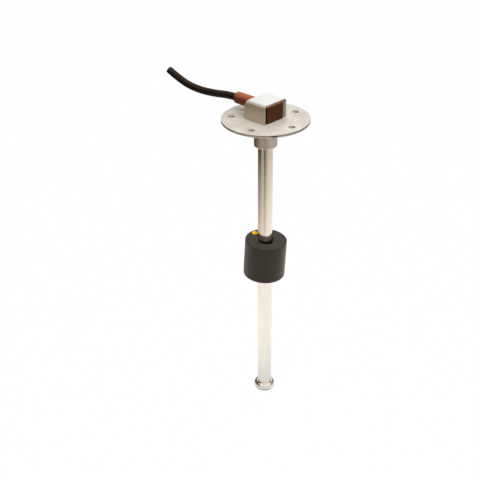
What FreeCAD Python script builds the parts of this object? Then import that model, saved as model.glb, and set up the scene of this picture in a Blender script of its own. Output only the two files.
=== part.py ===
"""Tank level sender: a reed-switch stem with a ring float, hung from a five-hole flange.

Millimetres. The origin is the centre of the flange's seat, its lower face. +Z is up the stem
towards the head, and +X is from the cable's exit to the closed end of the head.
"""

import FreeCAD
import Part
import math
import os

from FreeCAD import Rotation, Vector

# Flange
BOLT_CIRCLE = 54.0
BOLT_COUNT = 5
BOLT_HOLE = 5.8
FLANGE_MARGIN = 8.0
FLANGE_THICKNESS = 2.5
FLANGE_EDGE_ROUND = 0.2
FLANGE_SEAT_ROUND = 1.0
INDEX_HOLE = 5.0
INDEX_HOLE_INSET = 2.0

# Stem: tube, collar and end stop
TUBE_DIAMETER = 12.0
TUBE_WALL = 1.0
INSERTION_DEPTH = 258.0
COLLAR_WALL = 3.2
COLLAR_LENGTH = 20.7
COLLAR_EDGE_ROUND = 0.8
STOP_LIP = 2.9
STOP_HEIGHT = 7.2
STOP_TOP_ROUND = 2.4
STOP_BOTTOM_ROUND = 3.0
STOP_SPIGOT_LENGTH = 6.0

# Float, magnet and mark; the sunk share is how far down the bare tube the float hangs
FLOAT_PLAY = 1.4
FLOAT_WALL = 10.0
FLOAT_HEIGHT = 32.6
FLOAT_SUNK_SHARE = 0.4383
FLOAT_EDGE_ROUND = 0.6
FLOAT_MOUTH_CHAMFER = 0.3
FLOAT_LEAN_SHARE = 0.77
FLOAT_LEAN_BEARING = 4.0
MAGNET_RIM = 3.5
MAGNET_HEIGHT = 8.0
MAGNET_SETBACK = 0.25
MARK_DIAMETER = 5.0
MARK_THICKNESS = 0.4
MARK_RIM_GAP = 1.7
MARK_BEARING = 178.0
GATE_DIAMETER = 3.2
GATE_DEPTH = 1.0
GATE_BORE_GAP = 1.6
GATE_BEARING = 270.0

# Head: folded bracket, moulded block and cable sleeve
BRACKET_LENGTH = 21.3
BRACKET_WIDTH = 24.8
BRACKET_HEIGHT = 15.6
BRACKET_SETBACK = 0.45
BRACKET_SHEET = 0.9
BRACKET_BEND_INSIDE = 1.5
BRACKET_TRIM_LENGTH = 2.2
BRACKET_TRIM_HEIGHT = 4.7
CORNER_LEAST = 0.3
BLOCK_RECESS = 0.1
BLOCK_REAR_CHAMFER = 0.8
NOSE_LENGTH = 5.0
NOSE_ROOF_RELIEF = 0.5
NOSE_SIDE_RELIEF = 2.0
NOSE_CORNER_ROUND = 1.4
NOSE_EDGE_ROUND = 1.2
SLEEVE_WALL = 1.65
SLEEVE_LENGTH = 19.5
SLEEVE_EDGE_ROUND = 0.6
SLEEVE_SHOULDER = 1.3
SLEEVE_SPIGOT_LENGTH = 5.0
SLEEVE_ROOF = 1.85
SOCKET_DEPTH = 12.0

# Cable, its two cores and the room left round them in the block
CABLE_DIAMETER = 6.0
CORE_DIAMETER = 1.4
CORE_SPACING = 3.2
CORE_BEND = 4.0
CORE_OVERLAP = 8.0
CORE_ROOM = 0.7

# Circuit strip
STRIP_SIDE_ROOM = 1.0
STRIP_THICKNESS = 0.8
STRIP_TOP_MARGIN = 20.0
STRIP_FOOT_MARGIN = 1.0
REED_PITCH = 21.0
REED_DIAMETER = 2.0
REED_LENGTH = 10.0
REED_LIFT = 0.4
REED_END_CHAMFER = 0.4
LEAD_DIAMETER = 0.5
LEAD_REACH = 2.0
CHIP_LENGTH = 3.2
CHIP_WIDTH = 1.6
CHIP_HEIGHT = 0.6
SPACER_LENGTH = 3.0
SPACER_REED_COUNT = 4
SOLDER_RADIUS = 1.1
SOLDER_LENGTH = 2.5
SEAL_LENGTH = 9.0

# Clearances, each on one side
WELD_GAP = 0.05
SPIGOT_GAP = 0.05
MAGNET_GAP = 0.1
BLOCK_GAP = 0.1
SOCKET_GAP = 0.15
CORE_GAP = 0.1
STRIP_GAP = 0.1
SEAL_GAP = 0.05
TRAVEL_GAP = 0.5

# Free line of the cable beyond its socket, as offsets along -X and up from the sleeve's end
CABLE_ROUTE = [(7.4, 0.0), (25.4, -3.3), (45.4, -4.8), (63.4, -2.6), (79.4, 3.8)]
ARC_SHARE = 0.45

# Sizes and places that follow from those above
FLANGE_DIAMETER = BOLT_CIRCLE + 2 * FLANGE_MARGIN
FLANGE_TOP = FLANGE_THICKNESS
INDEX_HOLE_CIRCLE = BOLT_CIRCLE - 2 * INDEX_HOLE_INSET
TUBE_BORE = TUBE_DIAMETER - 2 * TUBE_WALL
COLLAR_BORE = TUBE_DIAMETER + 2 * WELD_GAP
COLLAR_DIAMETER = COLLAR_BORE + 2 * COLLAR_WALL
STOP_DIAMETER = TUBE_DIAMETER + 2 * STOP_LIP
STOP_TOP = STOP_HEIGHT - INSERTION_DEPTH
FLOAT_BORE = TUBE_DIAMETER + 2 * FLOAT_PLAY
FLOAT_DIAMETER = FLOAT_BORE + 2 * FLOAT_WALL
FLOAT_Z = -COLLAR_LENGTH + FLOAT_SUNK_SHARE * (STOP_TOP + COLLAR_LENGTH)
FLOAT_LEAN = FLOAT_LEAN_SHARE * math.degrees(math.atan2(2 * FLOAT_PLAY, FLOAT_HEIGHT))
MAGNET_BORE = FLOAT_BORE + 2 * MAGNET_SETBACK
MAGNET_DIAMETER = MAGNET_BORE + 2 * MAGNET_RIM
BRACKET_FRONT = BRACKET_LENGTH / 2 - BRACKET_SETBACK
BRACKET_REAR = BRACKET_FRONT - BRACKET_LENGTH
BRACKET_TOP = FLANGE_TOP + BRACKET_HEIGHT
BLOCK_INSET = BRACKET_SHEET + BLOCK_GAP
SOCKET_BORE = CABLE_DIAMETER + 2 * SOCKET_GAP
SLEEVE_DIAMETER = SOCKET_BORE + 2 * SLEEVE_WALL
SLEEVE_SPIGOT = SLEEVE_DIAMETER - 2 * SLEEVE_SHOULDER
SLEEVE_SEAT = SLEEVE_SPIGOT + 2 * SPIGOT_GAP
SLEEVE_Z = BRACKET_TOP - BLOCK_INSET - SLEEVE_ROOF - SLEEVE_SEAT / 2
SLEEVE_END = BRACKET_REAR - SLEEVE_LENGTH
CABLE_START = SLEEVE_END + SOCKET_DEPTH
SEAL_BOTTOM = FLANGE_TOP - SEAL_LENGTH
STRIP_WIDTH = TUBE_BORE - 2 * STRIP_SIDE_ROOM
STRIP_TOP = SEAL_BOTTOM - STRIP_GAP
STRIP_BOTTOM = STOP_TOP + STOP_SPIGOT_LENGTH
REED_X = STRIP_THICKNESS / 2 + REED_LIFT + REED_DIAMETER / 2
CORE_X = -(STRIP_THICKNESS + CORE_DIAMETER) / 2 - CORE_GAP
CORE_END = STRIP_TOP - CORE_OVERLAP
CORE_WAY = CORE_SPACING + CORE_DIAMETER + 2 * CORE_GAP
WIRE_CHANNEL = CORE_SPACING + CORE_DIAMETER + 2 * CORE_ROOM
WIRE_WELL = 2 * math.hypot(CORE_X, CORE_SPACING / 2) + CORE_DIAMETER + 2 * CORE_ROOM


def upright(diameter, low, high, x=0.0, y=0.0):
    """A cylinder along Z between two heights."""
    return Part.makeCylinder(diameter / 2, high - low, Vector(x, y, low))


def lengthwise(diameter, rear, front, y=0.0, z=0.0):
    """A cylinder along X between two places."""
    return Part.makeCylinder(diameter / 2, front - rear, Vector(rear, y, z), Vector(1, 0, 0))


def box(x0, x1, y0, y1, z0, z1):
    """A block between three pairs of planes."""
    return Part.makeBox(x1 - x0, y1 - y0, z1 - z0, Vector(x0, y0, z0))


def on_circle(diameter, bearing, z=0.0):
    """A point on a circle about the stem, at a bearing from +X."""
    angle = math.radians(bearing)
    return Vector(diameter / 2 * math.cos(angle), diameter / 2 * math.sin(angle), z)


def circles_at(shape, z, diameter):
    """The circular edges of a shape that lie at one height and have one diameter."""
    found = []
    for edge in shape.Edges:
        curve = edge.Curve
        if isinstance(curve, Part.Circle) and abs(curve.Center.z - z) < 1e-6:
            if abs(2 * curve.Radius - diameter) < 1e-6:
                found.append(edge)
    return found


def rounded_path(points):
    """A wire of straight runs through the points, joined by the largest even tangent arcs."""
    edges = []
    radii = []
    start = points[0]
    for before, corner, after in zip(points, points[1:], points[2:]):
        run_in = corner - before
        run_out = after - corner
        half_turn = run_in.getAngle(run_out) / 2
        reach = ARC_SHARE * min(run_in.Length, run_out.Length)
        radii.append(reach / math.tan(half_turn))
        into = Vector(run_in).normalize()
        out = Vector(run_out).normalize()
        arc_start = corner - into * reach
        arc_end = corner + out * reach
        inward = Vector(out - into).normalize()
        middle = corner + inward * (radii[-1] / math.cos(half_turn) - radii[-1])
        edges.append(Part.LineSegment(start, arc_start).toShape())
        edges.append(Part.Arc(arc_start, middle, arc_end).toShape())
        start = arc_end
    edges.append(Part.LineSegment(start, points[-1]).toShape())
    return Part.Wire(edges), radii


def swept_rod(path, diameter):
    """A round rod along a path, mitred at any sharp corner."""
    first = path.OrderedEdges[0]
    start = first.valueAt(first.FirstParameter)
    ahead = first.tangentAt(first.FirstParameter)
    ring = Part.Wire(Part.makeCircle(diameter / 2, start, ahead))
    sweep = Part.BRepOffsetAPI.MakePipeShell(path)
    sweep.setTransitionMode(1)
    sweep.add(ring)
    sweep.build()
    sweep.makeSolid()
    return sweep.shape()


def make_flange():
    """The round plate, with its bolt circle, the hole below the cable and the collar's hole."""
    plate = upright(FLANGE_DIAMETER, 0, FLANGE_TOP)
    plate = plate.makeFillet(FLANGE_EDGE_ROUND, circles_at(plate, FLANGE_TOP, FLANGE_DIAMETER))
    plate = plate.makeFillet(FLANGE_SEAT_ROUND, circles_at(plate, 0, FLANGE_DIAMETER))
    holes = [upright(COLLAR_DIAMETER + 2 * WELD_GAP, 0, FLANGE_TOP)]
    for number in range(BOLT_COUNT):
        place = on_circle(BOLT_CIRCLE, number * 360 / BOLT_COUNT)
        holes.append(upright(BOLT_HOLE, 0, FLANGE_TOP, place.x, place.y))
    index = on_circle(INDEX_HOLE_CIRCLE, 180)
    holes.append(upright(INDEX_HOLE, 0, FLANGE_TOP, index.x, index.y))
    return plate.cut(holes)


def make_collar():
    """The turned bush that stands through the flange and carries the tube."""
    bush = upright(COLLAR_DIAMETER, -COLLAR_LENGTH, FLANGE_TOP)
    bush = bush.makeFillet(COLLAR_EDGE_ROUND, circles_at(bush, -COLLAR_LENGTH, COLLAR_DIAMETER))
    return bush.cut(upright(COLLAR_BORE, -COLLAR_LENGTH, FLANGE_TOP))


def make_tube():
    """The stem's tube, from the end stop up to the flange's top."""
    return upright(TUBE_DIAMETER, STOP_TOP, FLANGE_TOP).cut(upright(TUBE_BORE, STOP_TOP, FLANGE_TOP))


def make_end_stop():
    """The turned button that closes the tube and keeps the float on it."""
    button = upright(STOP_DIAMETER, -INSERTION_DEPTH, STOP_TOP)
    button = button.makeFillet(STOP_TOP_ROUND, circles_at(button, STOP_TOP, STOP_DIAMETER))
    button = button.makeFillet(STOP_BOTTOM_ROUND, circles_at(button, -INSERTION_DEPTH, STOP_DIAMETER))
    spigot = upright(TUBE_BORE - 2 * SPIGOT_GAP, STOP_TOP, STRIP_BOTTOM)
    return button.fuse(spigot).removeSplitter()


def lean_and_hang(shape):
    """Leans a float piece, modelled about the origin, and hangs it at its depth on the tube."""
    axis = Rotation(Vector(0, 0, 1), FLOAT_LEAN_BEARING).multVec(Vector(0, 1, 0))
    leaned = shape.copy()
    leaned.Placement = FreeCAD.Placement(Vector(0, 0, FLOAT_Z), Rotation(axis, FLOAT_LEAN))
    return leaned


def make_float_body():
    """The foam ring, with a groove for the magnet in its bore and a gate mark on its top."""
    top = FLOAT_HEIGHT / 2
    body = upright(FLOAT_DIAMETER, -top, top)
    rims = circles_at(body, -top, FLOAT_DIAMETER) + circles_at(body, top, FLOAT_DIAMETER)
    body = body.makeFillet(FLOAT_EDGE_ROUND, rims)
    body = body.cut(upright(FLOAT_BORE, -top, top))
    mouths = circles_at(body, -top, FLOAT_BORE) + circles_at(body, top, FLOAT_BORE)
    body = body.makeChamfer(FLOAT_MOUTH_CHAMFER, mouths)
    groove_half = MAGNET_HEIGHT / 2 + MAGNET_GAP
    body = body.cut(upright(MAGNET_DIAMETER + 2 * MAGNET_GAP, -groove_half, groove_half))
    gate_circle = FLOAT_BORE + 2 * (FLOAT_MOUTH_CHAMFER + GATE_BORE_GAP) + GATE_DIAMETER
    gate = on_circle(gate_circle, GATE_BEARING)
    return lean_and_hang(body.cut(upright(GATE_DIAMETER, top - GATE_DEPTH, top, gate.x, gate.y)))


def make_float_magnet():
    """The ring magnet, set back in its groove so that only the foam meets the tube."""
    half = MAGNET_HEIGHT / 2
    ring = upright(MAGNET_DIAMETER, -half, half)
    return lean_and_hang(ring.cut(upright(MAGNET_BORE, -half, half)))


def make_float_mark():
    """The round mark near the rim that shows which end of the float is up."""
    top = FLOAT_HEIGHT / 2
    circle = FLOAT_DIAMETER - 2 * MARK_RIM_GAP - MARK_DIAMETER
    place = on_circle(circle, MARK_BEARING)
    return lean_and_hang(upright(MARK_DIAMETER, top, top + MARK_THICKNESS, place.x, place.y))


def arch(half_width, foot, crown, bend, rear, front):
    """A solid with square feet and two rounded upper corners, drawn across X."""
    left = Vector(rear, -half_width, foot)
    left_spring = Vector(rear, -half_width, crown - bend)
    left_crown = Vector(rear, bend - half_width, crown)
    right_crown = Vector(rear, half_width - bend, crown)
    right_spring = Vector(rear, half_width, crown - bend)
    right = Vector(rear, half_width, foot)
    inset = bend * (1 - math.sqrt(0.5))
    left_middle = Vector(rear, inset - half_width, crown - inset)
    right_middle = Vector(rear, half_width - inset, crown - inset)
    outline = Part.Wire([
        Part.LineSegment(left, left_spring).toShape(),
        Part.Arc(left_spring, left_middle, left_crown).toShape(),
        Part.LineSegment(left_crown, right_crown).toShape(),
        Part.Arc(right_crown, right_middle, right_spring).toShape(),
        Part.LineSegment(right_spring, right).toShape(),
        Part.LineSegment(right, left).toShape(),
    ])
    return Part.Face(outline).extrude(Vector(front - rear, 0, 0))


def head_arch(inset, foot, rear, front):
    """The space under the bracket's outside, drawn in by an even inset."""
    bend = max(BRACKET_BEND_INSIDE + BRACKET_SHEET - inset, CORNER_LEAST)
    return arch(BRACKET_WIDTH / 2 - inset, foot, BRACKET_TOP - inset, bend, rear, front)


def rear_wedge(crown, length, height):
    """A prism across the head that takes away the upper rear corner of what it is cut from."""
    corner = Vector(BRACKET_REAR, -BRACKET_WIDTH / 2, crown)
    outline = [corner, corner + Vector(length, 0, 0), corner - Vector(0, 0, height), corner]
    return Part.Face(Part.makePolygon(outline)).extrude(Vector(0, BRACKET_WIDTH, 0))


def make_bracket():
    """The strip folded to an upside-down U over the block, trimmed at its upper rear corners."""
    outside = head_arch(0, FLANGE_TOP, BRACKET_REAR, BRACKET_FRONT)
    inside = head_arch(BRACKET_SHEET, FLANGE_TOP, BRACKET_REAR, BRACKET_FRONT)
    return outside.cut([inside, rear_wedge(BRACKET_TOP, BRACKET_TRIM_LENGTH, BRACKET_TRIM_HEIGHT)])


def make_block():
    """The moulded block under the bracket, with a narrower nose and a way for the cores."""
    nose_front = BRACKET_FRONT - BLOCK_RECESS
    nose_back = nose_front - NOSE_LENGTH
    crown = BRACKET_TOP - BLOCK_INSET
    nose_half = BRACKET_WIDTH / 2 - BLOCK_INSET - NOSE_SIDE_RELIEF
    nose_crown = crown - NOSE_ROOF_RELIEF
    body = head_arch(BLOCK_INSET, FLANGE_TOP, BRACKET_REAR, nose_back)
    body = body.cut(rear_wedge(crown, BLOCK_REAR_CHAMFER, BLOCK_REAR_CHAMFER))
    nose = arch(nose_half, FLANGE_TOP, nose_crown, NOSE_CORNER_ROUND, nose_back, nose_front)
    rim = [edge for edge in nose.Edges if edge.BoundBox.XMin > nose_front - 1e-6]
    rim = [edge for edge in rim if edge.BoundBox.ZMax > FLANGE_TOP + 1e-6]
    nose = nose.makeFillet(NOSE_EDGE_ROUND, rim)
    block = body.fuse(nose).removeSplitter()
    well = upright(WIRE_WELL, FLANGE_TOP, SLEEVE_Z)
    channel = lengthwise(WIRE_CHANNEL, BRACKET_REAR, WIRE_WELL / 2, z=SLEEVE_Z)
    seat_end = BRACKET_REAR + SLEEVE_SPIGOT_LENGTH + SPIGOT_GAP
    seat = lengthwise(SLEEVE_SEAT, BRACKET_REAR, seat_end, z=SLEEVE_Z)
    return block.cut([well, channel, seat])


def make_sleeve():
    """The moulded sleeve on the cable, pushed into the back of the block."""
    barrel = lengthwise(SLEEVE_DIAMETER, SLEEVE_END, BRACKET_REAR, z=SLEEVE_Z)
    mouth = [edge for edge in barrel.Edges if edge.BoundBox.XMax < SLEEVE_END + 1e-6]
    barrel = barrel.makeFillet(SLEEVE_EDGE_ROUND, mouth)
    spigot_end = BRACKET_REAR + SLEEVE_SPIGOT_LENGTH
    spigot = lengthwise(SLEEVE_SPIGOT, BRACKET_REAR, spigot_end, z=SLEEVE_Z)
    sleeve = barrel.fuse(spigot).removeSplitter()
    socket = lengthwise(SOCKET_BORE, SLEEVE_END, CABLE_START, z=SLEEVE_Z)
    return sleeve.cut([socket, lengthwise(CORE_WAY, CABLE_START, spigot_end, z=SLEEVE_Z)])


def make_cable():
    """The cable from the bottom of its socket to its cut end."""
    points = [Vector(CABLE_START, 0, SLEEVE_Z)]
    points += [Vector(SLEEVE_END - along, 0, SLEEVE_Z + up) for along, up in CABLE_ROUTE]
    path, radii = rounded_path(points)
    cable = swept_rod(path, CABLE_DIAMETER)
    section = math.pi * CABLE_DIAMETER ** 2 / 4
    print("cable length %.1f mm, radii %s" % (path.Length, [round(r, 1) for r in radii]))
    print("cable volume over section times length: %.4f" % (cable.Volume / (section * path.Length)))
    return cable


def make_core(side):
    """One insulated core, from the cable through the block and down to the strip."""
    y = side * CORE_SPACING / 2
    turn = SLEEVE_Z - CORE_BEND
    middle = CORE_BEND * (1 - math.sqrt(0.5))
    path = Part.Wire([
        Part.LineSegment(Vector(CORE_X, y, CORE_END), Vector(CORE_X, y, turn)).toShape(),
        Part.Arc(
            Vector(CORE_X, y, turn),
            Vector(CORE_X - middle, y, SLEEVE_Z - middle),
            Vector(CORE_X - CORE_BEND, y, SLEEVE_Z),
        ).toShape(),
        Part.LineSegment(Vector(CORE_X - CORE_BEND, y, SLEEVE_Z), Vector(CABLE_START, y, SLEEVE_Z)).toShape(),
    ])
    return swept_rod(path, CORE_DIAMETER)


def make_seal():
    """The resin plug in the top of the tube, cast round the two cores."""
    plug = upright(TUBE_BORE - 2 * SEAL_GAP, SEAL_BOTTOM, FLANGE_TOP)
    way = CORE_DIAMETER + 2 * SEAL_GAP
    ways = [upright(way, SEAL_BOTTOM, FLANGE_TOP, CORE_X, side * CORE_SPACING / 2) for side in (-1, 1)]
    return plug.cut(ways)


def make_strip():
    """The narrow circuit board that carries the switches down the tube."""
    half_width = STRIP_WIDTH / 2
    half_thickness = STRIP_THICKNESS / 2
    return box(-half_thickness, half_thickness, -half_width, half_width, STRIP_BOTTOM, STRIP_TOP)


def reed_heights():
    """The heights of the switches' middles, spread evenly from the top one down."""
    first = STRIP_TOP - STRIP_TOP_MARGIN
    last = STRIP_BOTTOM + STRIP_FOOT_MARGIN + LEAD_DIAMETER / 2 + REED_LENGTH / 2 + LEAD_REACH
    steps = max(1, int((first - last) // REED_PITCH))
    return [first - number * (first - last) / steps for number in range(steps + 1)]


def make_reed_switches():
    """The glass bodies of the reed switches."""
    glass = []
    for z in reed_heights():
        tube = upright(REED_DIAMETER, z - REED_LENGTH / 2, z + REED_LENGTH / 2, REED_X)
        rims = [edge for edge in tube.Edges if isinstance(edge.Curve, Part.Circle)]
        glass.append(tube.makeChamfer(REED_END_CHAMFER, rims))
    return Part.makeCompound(glass)


def make_reed_leads():
    """The switches' leads, folded back to the strip at both ends."""
    leads = []
    for z in reed_heights():
        for way in (-1, 1):
            start = Vector(REED_X, 0, z + way * REED_LENGTH / 2)
            fold = start + Vector(0, 0, way * LEAD_REACH)
            end = Vector(STRIP_THICKNESS / 2, 0, fold.z)
            leads.append(swept_rod(Part.makePolygon([start, fold, end]), LEAD_DIAMETER))
    return Part.makeCompound(leads)


def make_chip_resistors():
    """One chip resistor behind each switch."""
    back = -STRIP_THICKNESS / 2
    half_width = CHIP_WIDTH / 2
    half_length = CHIP_LENGTH / 2
    chips = []
    for z in reed_heights():
        chips.append(box(back - CHIP_HEIGHT, back, -half_width, half_width, z - half_length, z + half_length))
    return Part.makeCompound(chips)


def make_spacers():
    """The discs that keep the strip in the middle of the tube, midway between switches."""
    half_thickness = STRIP_THICKNESS / 2 + STRIP_GAP
    half_width = STRIP_WIDTH / 2 + STRIP_GAP
    discs = []
    heights = reed_heights()
    for above, below in list(zip(heights, heights[1:]))[::SPACER_REED_COUNT]:
        low = (above + below - SPACER_LENGTH) / 2
        disc = upright(TUBE_BORE - 2 * STRIP_GAP, low, low + SPACER_LENGTH)
        slot = box(-half_thickness, half_thickness, -half_width, half_width, low, low + SPACER_LENGTH)
        discs.append(disc.cut(slot))
    return Part.makeCompound(discs)


def make_solder_joints():
    """The beads below the cores' ends, on the back of the strip."""
    back = -STRIP_THICKNESS / 2
    beads = []
    for side in (-1, 1):
        y = side * CORE_SPACING / 2
        bead = upright(2 * SOLDER_RADIUS, CORE_END - SOLDER_LENGTH, CORE_END, back, y)
        front = box(back, back + SOLDER_RADIUS, y - SOLDER_RADIUS, y + SOLDER_RADIUS,
                    CORE_END - SOLDER_LENGTH, CORE_END)
        beads.append(bead.cut(front))
    return Part.makeCompound(beads)


def print_float_travel():
    """Prints how far the leaning float can rise to the collar and sink to the end stop."""
    lean = math.radians(FLOAT_LEAN)
    half = FLOAT_HEIGHT / 2 * math.cos(lean)
    rise = -COLLAR_LENGTH - FLOAT_Z - half - COLLAR_DIAMETER / 2 * math.tan(lean)
    sink = FLOAT_Z - half - STOP_DIAMETER / 2 * math.tan(lean) - STOP_TOP
    print("float lean %.2f degrees" % FLOAT_LEAN)
    print("float rise %.1f mm, sink %.1f mm" % (rise - TRAVEL_GAP, sink - TRAVEL_GAP))


PIECES = {
    "mounting_flange": make_flange,
    "tube_collar": make_collar,
    "sensor_tube": make_tube,
    "end_stop": make_end_stop,
    "float_body": make_float_body,
    "float_magnet": make_float_magnet,
    "float_mark": make_float_mark,
    "head_bracket": make_bracket,
    "head_block": make_block,
    "cable_sleeve": make_sleeve,
    "cable": make_cable,
    "signal_core": lambda: make_core(1),
    "ground_core": lambda: make_core(-1),
    "tube_seal": make_seal,
    "circuit_strip": make_strip,
    "reed_switches": make_reed_switches,
    "reed_leads": make_reed_leads,
    "chip_resistors": make_chip_resistors,
    "strip_spacers": make_spacers,
    "solder_joints": make_solder_joints,
}

os.makedirs("parts", exist_ok=True)
for name, make in PIECES.items():
    make().exportStep("parts/%s.step" % name)
print_float_travel()
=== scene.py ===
"""Looks of a tank level sender: steel stem, flange and head, foam float and black cable.

Every size is in metres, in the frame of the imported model: the origin is the centre of the
flange's seat, +Z is up the stem, and the cable leaves towards -X.
"""

import logging
import math
from dataclasses import dataclass
from enum import Enum

import bmesh
import bpy
import numpy as np
from mathutils import Matrix, Vector


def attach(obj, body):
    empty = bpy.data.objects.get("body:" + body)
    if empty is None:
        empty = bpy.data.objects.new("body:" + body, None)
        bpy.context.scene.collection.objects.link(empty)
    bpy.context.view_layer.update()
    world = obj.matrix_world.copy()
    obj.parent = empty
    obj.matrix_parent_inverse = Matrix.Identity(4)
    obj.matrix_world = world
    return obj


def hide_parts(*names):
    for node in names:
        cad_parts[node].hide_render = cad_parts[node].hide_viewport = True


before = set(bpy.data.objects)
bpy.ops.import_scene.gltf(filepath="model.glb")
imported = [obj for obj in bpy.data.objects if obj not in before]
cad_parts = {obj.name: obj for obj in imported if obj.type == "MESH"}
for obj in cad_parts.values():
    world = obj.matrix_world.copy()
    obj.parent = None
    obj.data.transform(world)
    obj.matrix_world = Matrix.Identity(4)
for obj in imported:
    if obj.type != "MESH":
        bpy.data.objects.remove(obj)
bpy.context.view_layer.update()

Colour = tuple[float, float, float]
Point = tuple[float, float, float]
Pair = tuple[float, float]

MM = 0.001
MERGE_REACH = 0.001 * MM
UP = Vector((0.0, 0.0, 1.0))
WHITE: Colour = (1.0, 1.0, 1.0)
RISING: Pair = (0.0, 1.0)
FALLING: Pair = (1.0, 0.0)
LOG = logging.getLogger("sender")


class Grain(Enum):
    """How the fine lines of a metal run, as the stretch of its pattern along X, Y and Z."""

    ALONG_STEM = (2200.0, 2200.0, 14.0)
    ROUND_STEM = (60.0, 60.0, 3800.0)
    ALONG_SHEET = (90.0, 1700.0, 1700.0)
    ROLLED = (900.0, 1300.0, 1300.0)


class Mix(Enum):
    """The numbers of the colour sockets on a Mix node, whose names are not unique."""

    FACTOR = 0
    FIRST = 6
    SECOND = 7
    RESULT = 2


class Bench:
    """Adds and joins the nodes of one material, world or group."""

    FIRST_BOUNCE: float = 0.5

    def __init__(self, tree: bpy.types.NodeTree) -> None:
        """Keeps the tree.

        Args:
            tree: The node tree to work on.
        """
        self.tree = tree

    def add(
        self, kind: str, values: dict[str | int, object] | None = None, **settings: object
    ) -> bpy.types.Node:
        """Adds a node.

        Args:
            kind: The node's type name.
            values: Input names or numbers, with a value or an output socket for each.
            settings: Attributes of the node itself.

        Returns:
            The new node.
        """
        node = self.tree.nodes.new(kind)
        for name, value in settings.items():
            setattr(node, name, value)
        for name, value in (values or {}).items():
            self.feed(node.inputs[name], value)
        return node

    def feed(self, socket: bpy.types.NodeSocket, value: object) -> None:
        """Links an output to a socket, or sets the socket's own value.

        Args:
            socket: The input to fill.
            value: An output socket, a number, or a colour or vector.
        """
        if isinstance(value, bpy.types.NodeSocket):
            self.tree.links.new(value, socket)
        elif socket.type == "RGBA" and len(value) == 3:
            socket.default_value = (*value, 1.0)
        else:
            socket.default_value = value

    def place(self, group: bpy.types.NodeTree, values: dict[str, object]) -> bpy.types.NodeSocket:
        """Places a shared effect.

        Args:
            group: The effect.
            values: The effect's inputs.

        Returns:
            The effect's only output.
        """
        return self.add("ShaderNodeGroup", values, node_tree=group).outputs[0]

    def math(self, operation: str, first: object, second: object) -> bpy.types.NodeSocket:
        """Joins two numbers.

        Args:
            operation: The Math node's operation.
            first: A number or an output.
            second: A number or an output.

        Returns:
            The result.
        """
        return self.add("ShaderNodeMath", {0: first, 1: second}, operation=operation).outputs[0]

    def axis(self, vector: object, letter: str) -> bpy.types.NodeSocket:
        """Takes one axis of a vector.

        Args:
            vector: The output to take it from.
            letter: X, Y or Z.

        Returns:
            The number along that axis.
        """
        return self.add("ShaderNodeSeparateXYZ", {0: vector}).outputs[letter]

    def spread(
        self, value: object, span: tuple[object, object], ends: tuple[object, object] = RISING
    ) -> bpy.types.NodeSocket:
        """Maps a range of numbers onto another, and holds it at both ends.

        Args:
            value: The output to map.
            span: Where the range begins and ends.
            ends: The results at its beginning and end.

        Returns:
            The result.
        """
        names = ("From Min", "From Max", "To Min", "To Max")
        limits = dict(zip(names, (*span, *ends)))
        return self.add("ShaderNodeMapRange", {"Value": value, **limits}).outputs["Result"]

    def blend(self, mask: object, first: object, second: object) -> bpy.types.NodeSocket:
        """Blends two colours.

        Args:
            mask: The share of the second colour.
            first: The colour where the mask is 0.
            second: The colour where the mask is 1.

        Returns:
            The blended colour.
        """
        values = {Mix.FACTOR.value: mask, Mix.FIRST.value: first, Mix.SECOND.value: second}
        return self.add("ShaderNodeMix", values, data_type="RGBA").outputs[Mix.RESULT.value]

    def background(self) -> bpy.types.NodeSocket:
        """Tells what is seen as background from what only gives light.

        Returns:
            The mask that is 1 where the camera sees it, itself or in gloss or glass, and else 0.
        """
        ray = self.add("ShaderNodeLightPath").outputs
        seen = self.math("MAXIMUM", ray["Is Camera Ray"], ray["Is Glossy Ray"])
        seen = self.math("MAXIMUM", seen, ray["Is Transmission Ray"])
        return self.math("MULTIPLY", seen, self.math("LESS_THAN", ray["Diffuse Depth"], self.FIRST_BOUNCE))


def new_material(name: str) -> tuple[bpy.types.Material, Bench]:
    """Makes a material with its first shader.

    Args:
        name: The material's name.

    Returns:
        The material and the bench for its nodes.
    """
    material = bpy.data.materials.new(name)
    material.use_nodes = True
    return material, Bench(material.node_tree)


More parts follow.
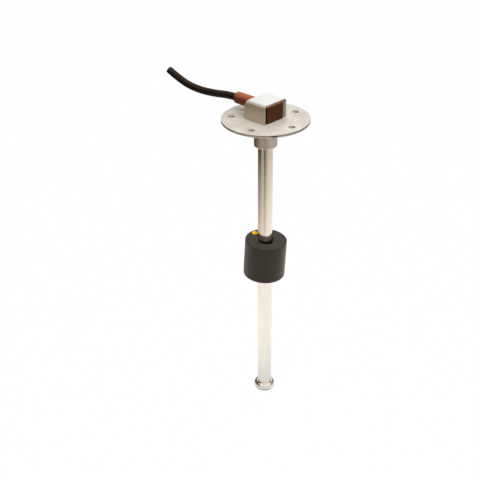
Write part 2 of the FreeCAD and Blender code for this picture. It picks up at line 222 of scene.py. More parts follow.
class Effects:
    """The shared surface effects, each a node group that is built once."""

    CLOUD_SPAN: Pair = (0.34, 0.66)
    PIT_SPAN: Pair = (0.05, 0.4)
    UPRIGHT_SPAN: Pair = (0.02, 0.2)

    def __init__(self) -> None:
        """Builds the groups."""
        self.grain = self._grain()
        self.clouding = self._clouding()
        self.tones = self._tones()
        self.pits = self._pits()
        self.upright = self._upright()
        self.outward = self._outward()

    @staticmethod
    def _open(
        name: str, inputs: dict[str, str], output: tuple[str, str]
    ) -> tuple[Bench, bpy.types.bpy_prop_collection, bpy.types.NodeSocket]:
        """Starts a group.

        Args:
            name: The group's name.
            inputs: Input names and socket types.
            output: The output's name and socket type.

        Returns:
            The bench, the group's inputs by name and its output.
        """
        tree = bpy.data.node_groups.new(name, "ShaderNodeTree")
        for label, kind in inputs.items():
            tree.interface.new_socket(label, in_out="INPUT", socket_type=kind)
        tree.interface.new_socket(output[0], in_out="OUTPUT", socket_type=output[1])
        bench = Bench(tree)
        source = bench.add("NodeGroupInput").outputs
        target = bench.add("NodeGroupOutput").inputs[output[0]]
        return bench, source, target

    def _grain(self) -> bpy.types.NodeTree:
        """Makes fine lines: noise on a point that is stretched along the three axes.

        Returns:
            The group.
        """
        inputs = {"Point": "NodeSocketVector", "Stretch": "NodeSocketVector"}
        bench, source, target = self._open("fine_grain", inputs, ("Lines", "NodeSocketFloat"))
        places = {0: source["Point"], 1: source["Stretch"]}
        scaled = bench.add("ShaderNodeVectorMath", places, operation="MULTIPLY").outputs[0]
        settings = {"Vector": scaled, "Scale": 1.0, "Detail": 4.0, "Roughness": 0.6}
        bench.feed(target, bench.add("ShaderNodeTexNoise", settings).outputs["Fac"])
        return bench.tree

    def _clouding(self) -> bpy.types.NodeTree:
        """Makes broad clouding: low noise, spread to run from 0 to 1.

        Returns:
            The group.
        """
        inputs = {"Point": "NodeSocketVector", "Patches": "NodeSocketFloat"}
        bench, source, target = self._open("handled_clouding", inputs, ("Mask", "NodeSocketFloat"))
        settings = {"Vector": source["Point"], "Scale": source["Patches"], "Detail": 3.0, "Distortion": 0.4}
        noise = bench.add("ShaderNodeTexNoise", settings).outputs["Fac"]
        bench.feed(target, bench.spread(noise, self.CLOUD_SPAN))
        return bench.tree

    def _tones(self) -> bpy.types.NodeTree:
        """Makes two tones of one colour, shared out by a mask.

        Returns:
            The group.
        """
        inputs = {"Deep": "NodeSocketColor", "Light": "NodeSocketColor", "Mask": "NodeSocketFloat"}
        bench, source, target = self._open("two_tones", inputs, ("Color", "NodeSocketColor"))
        bench.feed(target, bench.blend(source["Mask"], source["Deep"], source["Light"]))
        return bench.tree

    def _pits(self) -> bpy.types.NodeTree:
        """Makes small pits: the distance to the nearest of many scattered points, clipped near 0.

        Returns:
            The group.
        """
        inputs = {"Point": "NodeSocketVector", "Density": "NodeSocketFloat"}
        bench, source, target = self._open("fine_pits", inputs, ("Height", "NodeSocketFloat"))
        settings = {"Vector": source["Point"], "Scale": source["Density"]}
        distance = bench.add("ShaderNodeTexVoronoi", settings).outputs["Distance"]
        bench.feed(target, bench.spread(distance, self.PIT_SPAN))
        return bench.tree

    def _upright(self) -> bpy.types.NodeTree:
        """Picks out upright faces: one less the square of their normal's height, clipped softly.

        Returns:
            The group.
        """
        inputs = {"Normal": "NodeSocketVector"}
        bench, source, target = self._open("upright_faces", inputs, ("Mask", "NodeSocketFloat"))
        height = bench.axis(source["Normal"], "Z")
        square = bench.math("MULTIPLY", height, height)
        bench.feed(target, bench.spread(square, self.UPRIGHT_SPAN, FALLING))
        return bench.tree

    def _outward(self) -> bpy.types.NodeTree:
        """Tells faces that look away from the part's middle plane: their normal's Y, with their place's sign.

        Returns:
            The group.
        """
        inputs = {"Point": "NodeSocketVector", "Normal": "NodeSocketVector"}
        bench, source, target = self._open("outward_faces", inputs, ("Share", "NodeSocketFloat"))
        place = bench.axis(source["Point"], "Y")
        side = bench.add("ShaderNodeMath", {0: place}, operation="SIGN").outputs[0]
        bench.feed(target, bench.math("MULTIPLY", bench.axis(source["Normal"], "Y"), side))
        return bench.tree


@dataclass
class Skin:
    """A material in the making: its bench, its shader and what the finishes read."""

    bench: Bench
    shader: bpy.types.Node
    point: bpy.types.NodeSocket
    normal: bpy.types.NodeSocket
    cloud: bpy.types.NodeSocket

    def set(self, name: str, value: object) -> None:
        """Fills one of the shader's inputs.

        Args:
            name: The input's name.
            value: An output socket, a number or a colour.
        """
        self.bench.feed(self.shader.inputs[name], value)

    def source(self, name: str) -> bpy.types.NodeSocket:
        """Finds the output that feeds one of the shader's inputs."""
        return self.shader.inputs[name].links[0].from_socket

    def paint(self, mask: bpy.types.NodeSocket, colour: Colour) -> None:
        """Lays a colour over the base colour.

        Args:
            mask: Where it goes, from 0 to 1.
            colour: The colour.
        """
        self.set("Base Color", self.bench.blend(mask, self.source("Base Color"), colour))

    def relief(self, height: bpy.types.NodeSocket, strength: float, depth: float) -> None:
        """Gives the surface a fine relief.

        Args:
            height: The relief's pattern.
            strength: How strong it is.
            depth: How deep it is.
        """
        values = {"Strength": strength, "Distance": depth, "Height": height}
        self.set("Normal", self.bench.add("ShaderNodeBump", values).outputs["Normal"])


@dataclass(frozen=True)
class Finish:
    """What every finish has: a name, two close tones, and a gloss that runs between two values."""

    name: str
    deep: Colour
    light: Colour
    smooth: float = 0.4
    rough: float = 0.55
    patches: float = 120.0

    def material(self, effects: Effects) -> bpy.types.Material:
        """Makes the material.

        Args:
            effects: The shared effects.

        Returns:
            The new material.
        """
        material, bench = new_material(self.name)
        places = bench.add("ShaderNodeTexCoord").outputs
        point = places["Object"]
        cloud = bench.place(effects.clouding, {"Point": point, "Patches": self.patches})
        tone = bench.place(effects.tones, {"Deep": self.deep, "Light": self.light, "Mask": cloud})
        skin = Skin(bench, bench.tree.nodes["Principled BSDF"], point, places["Normal"], cloud)
        skin.set("Base Color", tone)
        self.shade(skin, effects)
        return material

    def shade(self, skin: Skin, effects: Effects) -> None:
        """Adds what the kind of finish needs beyond its tones.

        Args:
            skin: The material in the making.
            effects: The shared effects.
        """
        raise NotImplementedError


@dataclass(frozen=True)
class SteelFinish(Finish):
    """Stainless steel: fine lines roughen it, give it a slight relief and may fleck it."""

    grain: Grain = Grain.ALONG_STEM
    grain_span: Pair = (0.3, 0.7)
    metallic: float = 1.0
    lift: float = 0.03
    depth: float = 0.2 * MM
    fleck: Colour | None = None
    fleck_span: Pair = (0.5, 0.75)

    def shade(self, skin: Skin, effects: Effects) -> None:
        """Adds the metal's lines.

        Args:
            skin: The material in the making.
            effects: The shared effects.
        """
        lines = skin.bench.place(effects.grain, {"Point": skin.point, "Stretch": self.grain.value})
        if self.fleck:
            skin.paint(skin.bench.spread(lines, self.fleck_span), self.fleck)
        skin.set("Metallic", self.metallic)
        skin.set("Roughness", skin.bench.spread(lines, self.grain_span, (self.smooth, self.rough)))
        skin.relief(lines, self.lift, self.depth)


@dataclass(frozen=True)
class UprightShadedSheetFinish(SteelFinish):
    """Steel sheet with painted shade: its upright faces get a darker colour than its flat ones, from a
    distance off its middle on.
    """

    upright_shade: Colour = (0.4, 0.34, 0.29)
    upright_shade_from: float = 0.0

    def shade(self, skin: Skin, effects: Effects) -> None:
        """Adds the metal's lines, then paints shade on the upright faces.

        Args:
            skin: The material in the making.
            effects: The shared effects.
        """
        super().shade(skin, effects)
        # Painted shade: a darker colour on the upright faces, beyond the reach where it starts.
        skin.paint(self.upright_shade_mask(skin, effects), self.upright_shade)

    def upright_shade_mask(self, skin: Skin, effects: Effects) -> bpy.types.NodeSocket:
        """Finds the faces that get painted shade.

        Args:
            skin: The material in the making.
            effects: The shared effects.

        Returns:
            The mask that is 1 on them.
        """
        bench = skin.bench
        faces = bench.place(effects.upright, {"Normal": skin.normal})
        reach = bench.add("ShaderNodeVectorMath", {0: skin.point}, operation="LENGTH").outputs["Value"]
        return bench.math("MULTIPLY", faces, bench.math("GREATER_THAN", reach, self.upright_shade_from))


@dataclass(frozen=True)
class FoldedSheetFinish(UprightShadedSheetFinish):
    """Sheet folded to a channel: painted shade on the walls outside, and a pale, unpolished face inside them.
    """

    inner: Colour = (0.5, 0.43, 0.35)
    inner_span: Pair = (-0.9, -0.6)

    def shade(self, skin: Skin, effects: Effects) -> None:
        """Adds the sheet's skin with its painted shade, then the walls' inner faces.

        Args:
            skin: The material in the making.
            effects: The shared effects.
        """
        super().shade(skin, effects)
        outward = skin.bench.place(effects.outward, {"Point": skin.point, "Normal": skin.normal})
        inside = skin.bench.spread(outward, self.inner_span, FALLING)
        skin.paint(inside, self.inner)
        skin.set("Metallic", skin.bench.spread(inside, RISING, (self.metallic, 0.0)))


@dataclass(frozen=True)
class PunchedSheetFinish(UprightShadedSheetFinish):
    """Punched steel sheet: burnished holes, and a rim with a painted dark reflection along its upper part and
    a dark spot at one place.
    """

    hole: Colour = (0.91, 0.85, 0.78)
    hole_gloss: float = 0.06
    rim_top_reflection: Colour = (0.15, 0.105, 0.07)
    rim_top_reflection_span: Pair = RISING
    rim_spot: Colour = (0.025, 0.018, 0.013)
    rim_spot_place: Point = (0.0, 0.0, 0.0)
    rim_spot_span: Pair = RISING

    def shade(self, skin: Skin, effects: Effects) -> None:
        """Adds the sheet's skin with its painted shade, then the holes, the rim's painted dark reflection
        above and its dark spot.

        Args:
            skin: The material in the making.
            effects: The shared effects.
        """
        super().shade(skin, effects)
        bench = skin.bench
        rim = self.upright_shade_mask(skin, effects)
        holes = bench.math("SUBTRACT", bench.place(effects.upright, {"Normal": skin.normal}), rim)
        upper = bench.spread(bench.axis(skin.point, "Z"), self.rim_top_reflection_span)
        places = {0: skin.point, 1: self.rim_spot_place}
        apart = bench.add("ShaderNodeVectorMath", places, operation="DISTANCE").outputs["Value"]
        near = bench.spread(apart, self.rim_spot_span, FALLING)
        skin.paint(holes, self.hole)
        # Painted reflection: a dark band on the rim's upper part, standing in for the dark surroundings it
        # mirrors.
        skin.paint(bench.math("MULTIPLY", rim, upper), self.rim_top_reflection)
        # A dark spot on the rim near one bearing.
        skin.paint(bench.math("MULTIPLY", rim, near), self.rim_spot)
        skin.set("Metallic", bench.math("MAXIMUM", holes, self.metallic))
        skin.set("Roughness", bench.spread(holes, RISING, (skin.source("Roughness"), self.hole_gloss)))


@dataclass(frozen=True)
class MouldedFinish(Finish):
    """A moulded or painted skin: fine pits, an uneven gloss and a soft sheen at its edges."""

    specular: float = 0.3
    sheen: float = 0.0
    sheen_tint: Colour = (1.0, 0.86, 0.7)
    density: float = 2500.0
    lift: float = 0.08
    depth: float = 0.3 * MM

    def shade(self, skin: Skin, effects: Effects) -> None:
        """Adds the pits and the gloss.

        Args:
            skin: The material in the making.
            effects: The shared effects.
        """
        pits = skin.bench.place(effects.pits, {"Point": skin.point, "Density": self.density})
        skin.set("Roughness", skin.bench.spread(skin.cloud, RISING, (self.smooth, self.rough)))
        skin.set("Specular IOR Level", self.specular)
        skin.set("Sheen Weight", self.sheen)
        skin.set("Sheen Tint", self.sheen_tint)
        skin.relief(pits, self.lift, self.depth)


@dataclass(frozen=True)
class TopHighlightFinish(MouldedFinish):
    """A moulding with a painted highlight: a lighter colour where it looks up, standing in for light from
    above.
    """

    top_highlight: Colour = (0.36, 0.15, 0.075)
    top_highlight_span: Pair = (0.2, 0.7)

    def shade(self, skin: Skin, effects: Effects) -> None:
        """Adds the moulded skin, then paints a highlight on what looks up.

        Args:
            skin: The material in the making.
            effects: The shared effects.
        """
        super().shade(skin, effects)
        upward = skin.bench.axis(skin.normal, "Z")
        # Painted highlight: lighter colour on faces that look up.
        skin.paint(skin.bench.spread(upward, self.top_highlight_span), self.top_highlight)


@dataclass(frozen=True)
class ShadedFlankFinish(TopHighlightFinish):
    """A moulding with a painted top highlight and painted shade: its flanks are near black, for the shade
    where it sits between walls.
    """

    flank_shade: Colour = (0.0035, 0.0035, 0.003)
    flank_shade_span: Pair = (0.6, 0.9)

    def shade(self, skin: Skin, effects: Effects) -> None:
        """Adds the painted top highlight, then paints shade on the flanks.

        Args:
            skin: The material in the making.
            effects: The shared effects.
        """
        super().shade(skin, effects)
        outward = skin.bench.place(effects.outward, {"Point": skin.point, "Normal": skin.normal})
        # Painted shade: near black on faces that look out sideways from the middle plane.
        skin.paint(skin.bench.spread(outward, self.flank_shade_span), self.flank_shade)


@dataclass(frozen=True)
class GlassFinish(Finish):
    """Clear glass, with a faint tint that clouds over its length."""

    def shade(self, skin: Skin, effects: Effects) -> None:
        """Makes the skin clear.

        Args:
            skin: The material in the making.
            effects: The shared effects.
        """
        skin.set("Transmission Weight", 1.0)
        skin.set("Roughness", skin.bench.spread(skin.cloud, RISING, (self.smooth, self.rough)))


class Shop:
    """Keeps one material for each finish and dresses pieces with it."""

    def __init__(self) -> None:
        """Builds the shared effects."""
        self.effects = Effects()
        self.shelf: dict[str, bpy.types.Material] = {}

    def material(self, finish: Finish) -> bpy.types.Material:
        """Finds or makes a finish's material.

        Args:
            finish: The finish.

        Returns:
            Its material.
        """
        if finish.name not in self.shelf:
            self.shelf[finish.name] = finish.material(self.effects)
        return self.shelf[finish.name]

    def dress(self, node: str, finish: Finish) -> None:
        """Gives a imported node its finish.

        Args:
            node: The node's name.
            finish: The finish.
        """
        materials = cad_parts[node].data.materials
        materials.clear()
        materials.append(self.material(finish))
        LOG.info("dressed %s with %s", node, finish.name)


def make_mesh(name: str, points: np.ndarray, faces: np.ndarray, smooth: bool = True) -> bpy.types.Object:
    """Puts a computed surface into a new object at the origin, with its poles closed to one point each.

    Args:
        name: The piece's name.
        points: One row per corner point.
        faces: One row of corner numbers per four-sided face.
        smooth: Whether the faces are shaded smooth.

    Returns:
        The new object.
    """
    mesh = bpy.data.meshes.new(name)
    mesh.from_pydata(points.tolist(), [], faces.tolist())
    shell = bmesh.new()
    shell.from_mesh(mesh)
    bmesh.ops.remove_doubles(shell, verts=shell.verts, dist=MERGE_REACH)
    shell.to_mesh(mesh)
    shell.free()
    mesh.polygons.foreach_set("use_smooth", np.full(len(mesh.polygons), smooth))
    mesh.update()
    piece = bpy.data.objects.new(name, mesh)
    bpy.context.scene.collection.objects.link(piece)
    LOG.info("built %s", name)
    return piece


def turned(profile: np.ndarray, base: Vector, ahead: Vector, steps: int) -> tuple[np.ndarray, np.ndarray]:
    """Makes a turned form: each profile point's radius swung round an axis, at its distance along it.

    Args:
        profile: Rows of distance along the axis and radius.
        base: The point on the axis at distance 0.
        ahead: The axis's direction.
        steps: How many points round the axis.

    Returns:
        The points, ring by ring, and the four-sided faces between the rings.
    """
    forward = ahead.normalized()
    side = forward.orthogonal().normalized()
    across = forward.cross(side)
    angle = np.linspace(0, 2 * math.pi, steps, endpoint=False)[None, :, None]
    swing = np.cos(angle) * np.array(side) + np.sin(angle) * np.array(across)
    along = profile[:, 0][:, None, None] * np.array(forward)
    points = np.array(base) + along + profile[:, 1][:, None, None] * swing
    ring = np.arange(len(profile) - 1)[:, None] * steps
    here = np.arange(steps)[None, :]
    after = (here + 1) % steps
    faces = np.stack([ring + here, ring + after, ring + steps + after, ring + steps + here], axis=-1)
    return points.reshape(-1, 3), faces.reshape(-1, 4)


CORE_RED = MouldedFinish("core_red", (0.30, 0.012, 0.01), (0.38, 0.02, 0.016), rough=0.45)
CORE_BLACK = MouldedFinish("core_black", (0.008, 0.008, 0.008), (0.014, 0.014, 0.014), rough=0.45)
COPPER = SteelFinish("core_copper", (0.72, 0.33, 0.18), (0.85, 0.45, 0.27), smooth=0.25, rough=0.4)


@dataclass
class Stem:
    """The flange, collar, tube and end stop."""

    flange_radius: float = 35.0 * MM
    flange_thickness: float = 2.5 * MM
    rim_share: float = 0.95
    rim_top_reflection_share: Pair = (0.55, 0.715)
    rim_spot_bearing: float = -36.5
    rim_spot_span: Pair = (2.1 * MM, 3.0 * MM)

    def dress(self, shop: Shop) -> None:
        """Gives the stem's steel its finishes.

        Args:
            shop: The materials.
        """
        bearing = math.radians(self.rim_spot_bearing)
        rim = (
            self.flange_radius * math.cos(bearing),
            self.flange_radius * math.sin(bearing),
            self.flange_thickness / 2,
        )
        flange = PunchedSheetFinish(
            "flange_sheet",
            (0.67, 0.635, 0.555),
            (0.84, 0.805, 0.725),
            metallic=0.25,
            smooth=0.38,
            rough=0.6,
            grain=Grain.ROLLED,
            fleck=(0.42, 0.38, 0.31),
            lift=0.3,
            patches=60.0,
            # Painted shade on the flange's rim.
            upright_shade=(0.37, 0.31, 0.255),
            upright_shade_from=self.rim_share * self.flange_radius,
            # Painted dark reflection on the rim's upper band.
            rim_top_reflection_span=tuple(share * self.flange_thickness for share in self.rim_top_reflection_share),
            rim_spot_place=rim,
            rim_spot_span=self.rim_spot_span,
        )
        collar = SteelFinish(
            "collar_turned",
            (0.56, 0.5, 0.44),
            (0.66, 0.6, 0.53),
            smooth=0.24,
            rough=0.36,
            grain=Grain.ROUND_STEM,
            lift=0.06,
            patches=220.0,
        )
        tube = SteelFinish(
            "tube_drawn",
            (0.895, 0.835, 0.745),
            (0.95, 0.89, 0.8),
            smooth=0.08,
            rough=0.15,
            patches=38.0,
            fleck=(0.72, 0.65, 0.56),
        )
        stop = SteelFinish(
            "stop_polished",
            (0.84, 0.80, 0.74),
            (0.9, 0.86, 0.8),
            smooth=0.04,
            rough=0.08,
            grain=Grain.ROUND_STEM,
            lift=0.015,
        )
        shop.dress("mounting_flange", flange)
        shop.dress("tube_collar", collar)
        shop.dress("sensor_tube", tube)
        shop.dress("end_stop", stop)


@dataclass
class Head:
    """The folded bracket, the brown block under it and the cable's sleeve."""

    sleeve_patch: float = 2.4 * MM

    def dress(self, shop: Shop) -> None:
        """Gives the head's pieces their finishes.

        Args:
            shop: The materials.
        """
        bracket = FoldedSheetFinish(
            "bracket_sheet",
            (0.93, 0.925, 0.885),
            (0.97, 0.965, 0.94),
            metallic=0.75,
            smooth=0.33,
            rough=0.42,
            grain=Grain.ALONG_SHEET,
            lift=0.04,
            patches=60.0,
            # Painted shade on the bracket's walls.
            upright_shade=(0.48, 0.415, 0.32),
        )
        # Painted highlight on the block's top faces and painted shade on its flanks.
        block = ShadedFlankFinish("block_brown", (0.055, 0.016, 0.006), (0.07, 0.02, 0.008), specular=0.08)
        sleeve = TopHighlightFinish(
            "sleeve_brown",
            (0.11, 0.021, 0.007),
            (0.15, 0.029, 0.009),
            smooth=0.32,
            rough=0.45,
            patches=1 / self.sleeve_patch,
            lift=0.12,
            density=1500.0,
            specular=0.2,
            # Painted highlight along the sleeve's top.
            top_highlight=(0.38, 0.12, 0.04),
            top_highlight_span=(0.35, 0.95),
        )
        shop.dress("head_bracket", bracket)
        shop.dress("head_block", block)
        shop.dress("cable_sleeve", sleeve)


@dataclass
class CableRun:
    """The black cable on its free line, with its two cores at the trimmed end."""

    diameter: float = 6.0 * MM
    length: float = 92.9 * MM
    core_diameter: float = 1.4 * MM
    core_spacing: float = 3.2 * MM
    strand_share: float = 0.55
    stub: float = 0.35 * MM
    core_steps: int = 24
    round_steps: int = 12
    line_steps: int = 32
    spline_order: int = 3
    route: tuple[Point, ...] = (
        (-0.0186, 0.0, 0.0117),
        (-0.038, 0.0, 0.0117),
        (-0.056, 0.0, 0.0084),
        (-0.076, 0.0, 0.0069),
        (-0.094, 0.0, 0.0091),
        (-0.110, 0.0, 0.0155),
    )
    jacket: Finish = TopHighlightFinish(
        "jacket_black",
        (0.0042, 0.0044, 0.0042),
        (0.0062, 0.0064, 0.006),
        specular=0.12,
        lift=0.03,
        # Painted highlight along the cable's top.
        top_highlight=(0.034, 0.018, 0.01),
        top_highlight_span=(0.3, 0.95),
    )

    def build(self, shop: Shop) -> None:
        """Args:
            shop: The materials.
        """
        cable = self._line()
        cable.data.materials.append(shop.material(self.jacket))
        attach(cable, "stem")
        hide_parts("cable")
        ends = self._core_end("signal_core_end", 1, CORE_RED, shop)
        ends += self._core_end("ground_core_end", -1, CORE_BLACK, shop)

    def _line(self) -> bpy.types.Object:
        """Makes the cable as a smooth spline that the route's points pull, thickened to its diameter.

        Returns:
            The cable.
        """
        curve = bpy.data.curves.new("cable_line", "CURVE")
        curve.dimensions = "3D"
        curve.bevel_depth = self.diameter / 2
        curve.bevel_resolution = self.round_steps
        curve.resolution_u = self.line_steps
        curve.use_fill_caps = True
        spline = curve.splines.new("NURBS")
        spline.points.add(len(self.route) - 1)
        spline.points.foreach_set("co", np.c_[np.array(self.route), np.ones(len(self.route))].ravel())
        spline.order_u = self.spline_order
        spline.use_endpoint_u = True
        cable = bpy.data.objects.new("cable_line", curve)
        bpy.context.scene.collection.objects.link(cable)
        LOG.info("built cable_line")
        return cable

    def _core_end(self, name: str, side: int, finish: Finish, shop: Shop) -> list[bpy.types.Object]:
        """Makes the short end of one core and its bare strands, both turned about the cable's direction.

        Args:
            name: The end's name.
            side: Which side of the cable's line it is on, 1 or -1.
            finish: The insulation's finish.
            shop: The materials.

        Returns:
            The new pieces.
        """
        end = Vector(self.route[-1])
        ahead = end - Vector(self.route[-2])
        base = end + Vector((0, side * self.core_spacing / 2, 0))
        radius = self.core_diameter / 2
        rods = {
            name: (-self.stub, self.stub / 2, radius, finish),
            name + "_strands": (0.0, self.stub, radius * self.strand_share, COPPER),
        }
        pieces = []
        for label, (start, stop, reach, skin) in rods.items():
            profile = np.array([[start, 0.0], [start, reach], [stop, reach], [stop, 0.0]])
            piece = make_mesh(label, *turned(profile, base, ahead, self.core_steps), smooth=False)
            piece.data.materials.append(shop.material(skin))
            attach(piece, "stem")
            pieces.append(piece)
        return pieces


@dataclass
class Float:
    """The foam ring on the tube, its magnet and its yellow mark."""

    pore: float = 0.4 * MM

    def dress(self, shop: Shop) -> None:
        """Gives the float's pieces their finishes.

        Args:
            shop: The materials.
        """
        foam = MouldedFinish(
            "float_foam",
            (0.0175, 0.0148, 0.0095),
            (0.0235, 0.02, 0.0132),
            smooth=0.5,
            rough=0.62,
            specular=0.18,
            sheen=0.3,
            density=1 / self.pore,
            lift=0.1,
            patches=70.0,
        )
        mark = MouldedFinish(
            "mark_yellow", (0.95, 0.5, 0.002), (0.98, 0.55, 0.003), smooth=0.5, patches=900.0, specular=0.02
        )
        magnet = MouldedFinish("magnet_ferrite", (0.02, 0.02, 0.021), (0.035, 0.035, 0.037))
        shop.dress("float_body", foam)
        shop.dress("float_mark", mark)
        shop.dress("float_magnet", magnet)


@dataclass
class Inside:
    """What the sealed tube and head hold."""

    board_patch: float = 4.0 * MM

    def dress(self, shop: Shop) -> None:
        """Gives the hidden pieces their finishes.

        Args:
            shop: The materials.
        """
        board = MouldedFinish(
            "board_green",
            (0.01, 0.07, 0.025),
            (0.015, 0.11, 0.04),
            smooth=0.2,
            rough=0.35,
            patches=1 / self.board_patch,
        )
        glass = GlassFinish(
            "reed_glass", (0.55, 0.72, 0.6), (0.75, 0.88, 0.8), smooth=0.02, rough=0.05, patches=300.0
        )
        lead = SteelFinish("lead_tinned", (0.58, 0.55, 0.5), (0.7, 0.67, 0.62), smooth=0.2, rough=0.35)
        chip = MouldedFinish("chip_black", (0.01, 0.01, 0.01), (0.02, 0.02, 0.02))
        solder = SteelFinish("solder_tin", (0.55, 0.55, 0.54), (0.7, 0.7, 0.69), smooth=0.15, rough=0.3)
        spacer = MouldedFinish("spacer_white", (0.66, 0.65, 0.6), (0.74, 0.73, 0.68))
        resin = MouldedFinish("seal_resin", (0.008, 0.008, 0.008), (0.012, 0.012, 0.012), smooth=0.2)
        shop.dress("circuit_strip", board)
        shop.dress("reed_switches", glass)
        shop.dress("reed_leads", lead)
        shop.dress("chip_resistors", chip)
        shop.dress("solder_joints", solder)
        shop.dress("signal_core", CORE_RED)
        shop.dress("ground_core", CORE_BLACK)
        shop.dress("strip_spacers", spacer)
        shop.dress("tube_seal", resin)


@dataclass(frozen=True)
class Surround:
    """One bearing of the dim table round the white paper, seen from the object.

    The bearing is 0 towards the camera and grows to the right. The paper is white up to its
    edge, apart from a painted shadow right under the object, and the table has its own tone
    from the far end of the fade on. A wall of another tone stands behind the table, up to its rise.
    """

    bearing: float
    tone: Colour
    edge: float
    wall: Colour
    rise: float


@dataclass(frozen=True)
class Lamp:
    """A soft lamp, placed and aimed from the camera's side: its power is in watts, its beam in degrees."""

    name: str
    place: Point
    aim: Point
    size: Pair
    power: float
    beam: float = 180.0


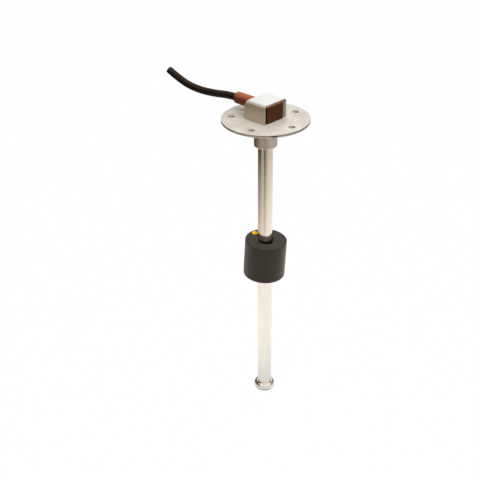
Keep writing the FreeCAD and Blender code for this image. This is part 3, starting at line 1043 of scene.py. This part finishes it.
@dataclass
class Studio:
    """Floor, dim surround, lamps, world and camera, turned to face the camera's side."""

    bearing: float = 42.5
    floor_height: float = -0.40
    floor_radius: float = 8.0
    floor_steps: int = 128
    floor_tone: Colour = (0.56, 0.56, 0.56)
    floor_roughness: float = 0.9
    floor_white: float = 0.99
    fill: float = 0.4
    table_steps: int = 360
    table_lift: float = 2.0 * MM
    table_near: Pair = (0.02, 1.2)
    table_far: Pair = (1.3, 2.9)
    near_rings: int = 60
    far_rings: int = 12
    wall_rings: int = 40
    table_fade: float = 0.85
    fade_powers: Colour = (1.0, 0.85, 0.72)
    wall_blend: float = 0.3
    wall_top: float = 4.8
    wall_fade: float = 0.4
    painted_shadow_reach: tuple[float, ...] = (0.04, 0.14, 0.28)
    painted_shadow_tones: tuple[float, ...] = (0.3, 0.6, 1.0)
    focal_px: float = 979.2
    image_px: float = 480.0
    sensor_mm: float = 36.0
    near_clip: float = 0.01
    eye: Point = (0.0, -0.7118, 0.2914)
    pitch: float = 29.19
    yaw: float = -1.68
    roll: float = 0.52
    lamps: tuple[Lamp, ...] = (
        Lamp("lamp_key", (0.15, -0.75, 0.8), (0.0, 0.0, -0.1), (0.9, 0.6), 10.0),
        Lamp("lamp_above", (0.1, 0.35, 0.95), (0.0, 0.0, -0.1), (0.9, 0.6), 2.5),
        Lamp("lamp_float", (0.1, -0.7, 0.4), (0.0, 0.0, -0.14), (0.15, 0.15), 0.018, beam=16.0),
    )
    surround: tuple[Surround, ...] = (
        Surround(-180.0, (0.03, 0.02, 0.01), 0.35, WHITE, 0.0),
        Surround(-176.0, (0.03, 0.02, 0.01), 0.35, WHITE, 0.0),
        Surround(-167.0, (0.03, 0.02, 0.01), 0.35, (0.14, 0.1, 0.07), 4.4),
        Surround(-120.0, (0.03, 0.02, 0.01), 0.35, (0.14, 0.1, 0.07), 4.4),
        Surround(-90.0, (0.07, 0.06, 0.05), 0.38, (0.24, 0.18, 0.1), 4.4),
        Surround(-70.0, (0.09, 0.08, 0.07), 0.4, (0.24, 0.18, 0.1), 4.4),
        Surround(-55.0, (0.36, 0.33, 0.29), 0.42, (0.36, 0.28, 0.18), 2.0),
        Surround(-30.0, (0.36, 0.33, 0.29), 0.42, (0.5, 0.45, 0.4), 0.7),
        Surround(-18.0, (0.05, 0.04, 0.03), 0.4, (0.5, 0.45, 0.4), 0.7),
        Surround(-4.0, (0.05, 0.04, 0.03), 0.4, (0.5, 0.45, 0.4), 0.7),
        Surround(12.0, (0.34, 0.32, 0.28), 0.48, (0.5, 0.45, 0.4), 0.7),
        Surround(50.0, (0.58, 0.54, 0.49), 0.53, (0.5, 0.45, 0.4), 0.7),
        Surround(100.0, (0.64, 0.6, 0.55), 0.58, (0.4, 0.35, 0.3), 2.0),
        Surround(130.0, (0.66, 0.62, 0.57), 0.6, (0.28, 0.24, 0.2), 4.0),
        Surround(162.0, (0.66, 0.62, 0.57), 0.6, (0.28, 0.24, 0.2), 4.0),
        Surround(172.0, (0.66, 0.62, 0.57), 0.6, WHITE, 0.0),
        Surround(180.0, (0.66, 0.62, 0.57), 0.6, WHITE, 0.0),
    )

    def build(self) -> None:
        """Sets the whole studio."""
        self._floor()
        self._table()
        for lamp in self.lamps:
            self._hang(lamp)
        self._world()
        self._camera()

    def _turn(self) -> Matrix:
        """The turn from the camera's side to the object's own axes."""
        return Matrix.Rotation(math.radians(self.bearing), 4, "Z")

    def _floor(self) -> None:
        """Makes a pale round floor that shows near white to the camera and to gloss, and keeps the shadow."""
        profile = np.array([[self.floor_height, self.floor_radius], [self.floor_height, 0.0]])
        floor = make_mesh("floor", *turned(profile, Vector(), UP, self.floor_steps))
        material, bench = new_material("floor_pale")
        shader = bench.tree.nodes["Principled BSDF"]
        bench.feed(shader.inputs["Base Color"], self.floor_tone)
        bench.feed(shader.inputs["Roughness"], self.floor_roughness)
        bench.feed(shader.inputs["Specular IOR Level"], 0.0)
        white = bench.add("ShaderNodeEmission", {"Color": WHITE, "Strength": 1.0})
        share = bench.math("MULTIPLY", bench.background(), self.floor_white)
        shaders = {0: share, 1: shader.outputs["BSDF"], 2: white.outputs["Emission"]}
        mix = bench.add("ShaderNodeMixShader", shaders)
        bench.feed(bench.tree.nodes["Material Output"].inputs["Surface"], mix.outputs["Shader"])
        floor.data.materials.append(material)

    def _table(self) -> None:
        """Makes the dim table and low wall round the white paper, which only gloss sees.

        The surface is turned: rings that come down the wall, then rings that narrow on the floor.
        """
        foot = self.floor_height + self.table_lift
        near = np.linspace(*self.table_near, self.near_rings)
        far = np.linspace(*self.table_far, self.far_rings)
        radius = np.concatenate([near, far])
        height = np.linspace(foot, self.wall_top, self.wall_rings)[1:]
        flat = np.c_[np.full(len(radius), foot), radius]
        upright = np.c_[height, np.full(len(height), radius[-1])]
        rings = np.concatenate([flat, upright])[::-1]
        points, faces = turned(rings, Vector(), UP, self.table_steps)
        table = make_mesh("dim_table", points, faces)
        glow = table.data.color_attributes.new("glow", "FLOAT_COLOR", "POINT")
        glow.data.foreach_set("color", np.c_[self._glow(points), np.ones(len(points))].ravel())
        table.data.transform(self._turn())
        material, bench = new_material("table_dim")
        bench.tree.nodes.remove(bench.tree.nodes["Principled BSDF"])
        colour = bench.add("ShaderNodeVertexColor", layer_name="glow").outputs["Color"]
        light = bench.add("ShaderNodeEmission", {"Color": colour, "Strength": 1.0})
        bench.feed(bench.tree.nodes["Material Output"].inputs["Surface"], light.outputs["Emission"])
        table.data.materials.append(material)
        table.visible_camera = False
        table.visible_diffuse = False
        table.visible_shadow = False

    def _at(self, bearing: np.ndarray, field: str) -> np.ndarray:
        """Runs one of the surround's values evenly from bearing to bearing.

        Args:
            bearing: The bearings to find it at.
            field: The value's name.

        Returns:
            One row per bearing, with a number or a colour in it.
        """
        stops = [part.bearing for part in self.surround]
        values = np.array([getattr(part, field) for part in self.surround]).reshape(len(stops), -1)
        return np.stack([np.interp(bearing, stops, column) for column in values.T], axis=-1)

    def _glow(self, points: np.ndarray) -> np.ndarray:
        """Works out the surround's tones: white paper with a painted shadow under the object, that fades
        warmly to the table, then wall and sky.

        Args:
            points: Places on the surround, on the camera's side.

        Returns:
            One colour per place.
        """
        distance = np.hypot(points[:, 0], points[:, 1])[:, None]
        bearing = np.degrees(np.arctan2(points[:, 0], -points[:, 1]))
        edge = self._at(bearing, "edge")
        # Painted shadow: the paper glows darker right under the object.
        paper = np.interp(distance, self.painted_shadow_reach, self.painted_shadow_tones)
        fade = np.clip((distance - edge) / (self.table_fade - edge), 0, 1) ** np.array(self.fade_powers)
        tones = paper * (1 - fade) + self._at(bearing, "tone") * fade
        away = np.clip((distance - self.table_fade) / self.wall_blend, 0, 1)
        tones = tones * (1 - away) + self._at(bearing, "wall") * away
        above = points[:, 2:] - self._at(bearing, "rise")
        climb = np.clip(above / self.wall_fade + 1, 0, 1)
        return tones * (1 - climb) + climb

    def _hang(self, lamp: Lamp) -> None:
        """Adds a lamp, which gloss doesn't see.

        Args:
            lamp: What it is and where it goes.
        """
        light = bpy.data.lights.new(lamp.name, "AREA")
        light.shape = "RECTANGLE"
        light.size, light.size_y = lamp.size
        light.energy = lamp.power
        light.spread = math.radians(lamp.beam)
        hung = bpy.data.objects.new(lamp.name, light)
        hung.visible_glossy = False
        bpy.context.scene.collection.objects.link(hung)
        place = self._turn() @ Vector(lamp.place)
        aim = self._turn() @ Vector(lamp.aim)
        facing = (place - aim).to_track_quat("Z", "Y").to_matrix().to_4x4()
        hung.matrix_world = Matrix.Translation(place) @ facing

    def _world(self) -> None:
        """Makes an even world: white to the camera, to gloss and to glass, and weak as light."""
        world = bpy.data.worlds.new("studio_world")
        bpy.context.scene.world = world
        world.use_nodes = True
        bench = Bench(world.node_tree)
        sky = bench.tree.nodes["Background"]
        bench.feed(sky.inputs["Color"], WHITE)
        bench.feed(sky.inputs["Strength"], bench.spread(bench.background(), RISING, (self.fill, 1.0)))

    def _camera(self) -> None:
        """Sets the photograph's camera, fitted to the flange, tube, float and end stop."""
        pitch, yaw, roll = (math.radians(angle) for angle in (self.pitch, self.yaw, self.roll))
        ahead = Vector((math.sin(yaw) * math.cos(pitch), math.cos(yaw) * math.cos(pitch), -math.sin(pitch)))
        level = Vector((math.cos(yaw), -math.sin(yaw), 0.0))
        down = ahead.cross(level)
        right = level * math.cos(roll) + down * math.sin(roll)
        up = right.cross(ahead)
        facing = Matrix((right, up, -ahead)).transposed().to_4x4()
        data = bpy.data.cameras.new("photo_camera")
        data.sensor_width = self.sensor_mm
        data.lens = self.sensor_mm * self.focal_px / self.image_px
        data.clip_start = self.near_clip
        camera = bpy.data.objects.new("photo_camera", data)
        bpy.context.scene.collection.objects.link(camera)
        camera.matrix_world = self._turn() @ Matrix.Translation(Vector(self.eye)) @ facing
        bpy.context.scene.camera = camera


def write_sizes() -> None:
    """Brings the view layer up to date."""
    bpy.context.view_layer.update()


def main() -> None:
    """Builds the studio and the sender's sub-assemblies in order."""
    logging.basicConfig(level=logging.INFO, format="%(message)s")
    bpy.context.scene.view_settings.view_transform = "Standard"
    Studio().build()
    shop = Shop()
    CableRun().build(shop)
    Stem().dress(shop)
    Head().dress(shop)
    Float().dress(shop)
    Inside().dress(shop)
    write_sizes()


if __name__ == "__main__":
    main()
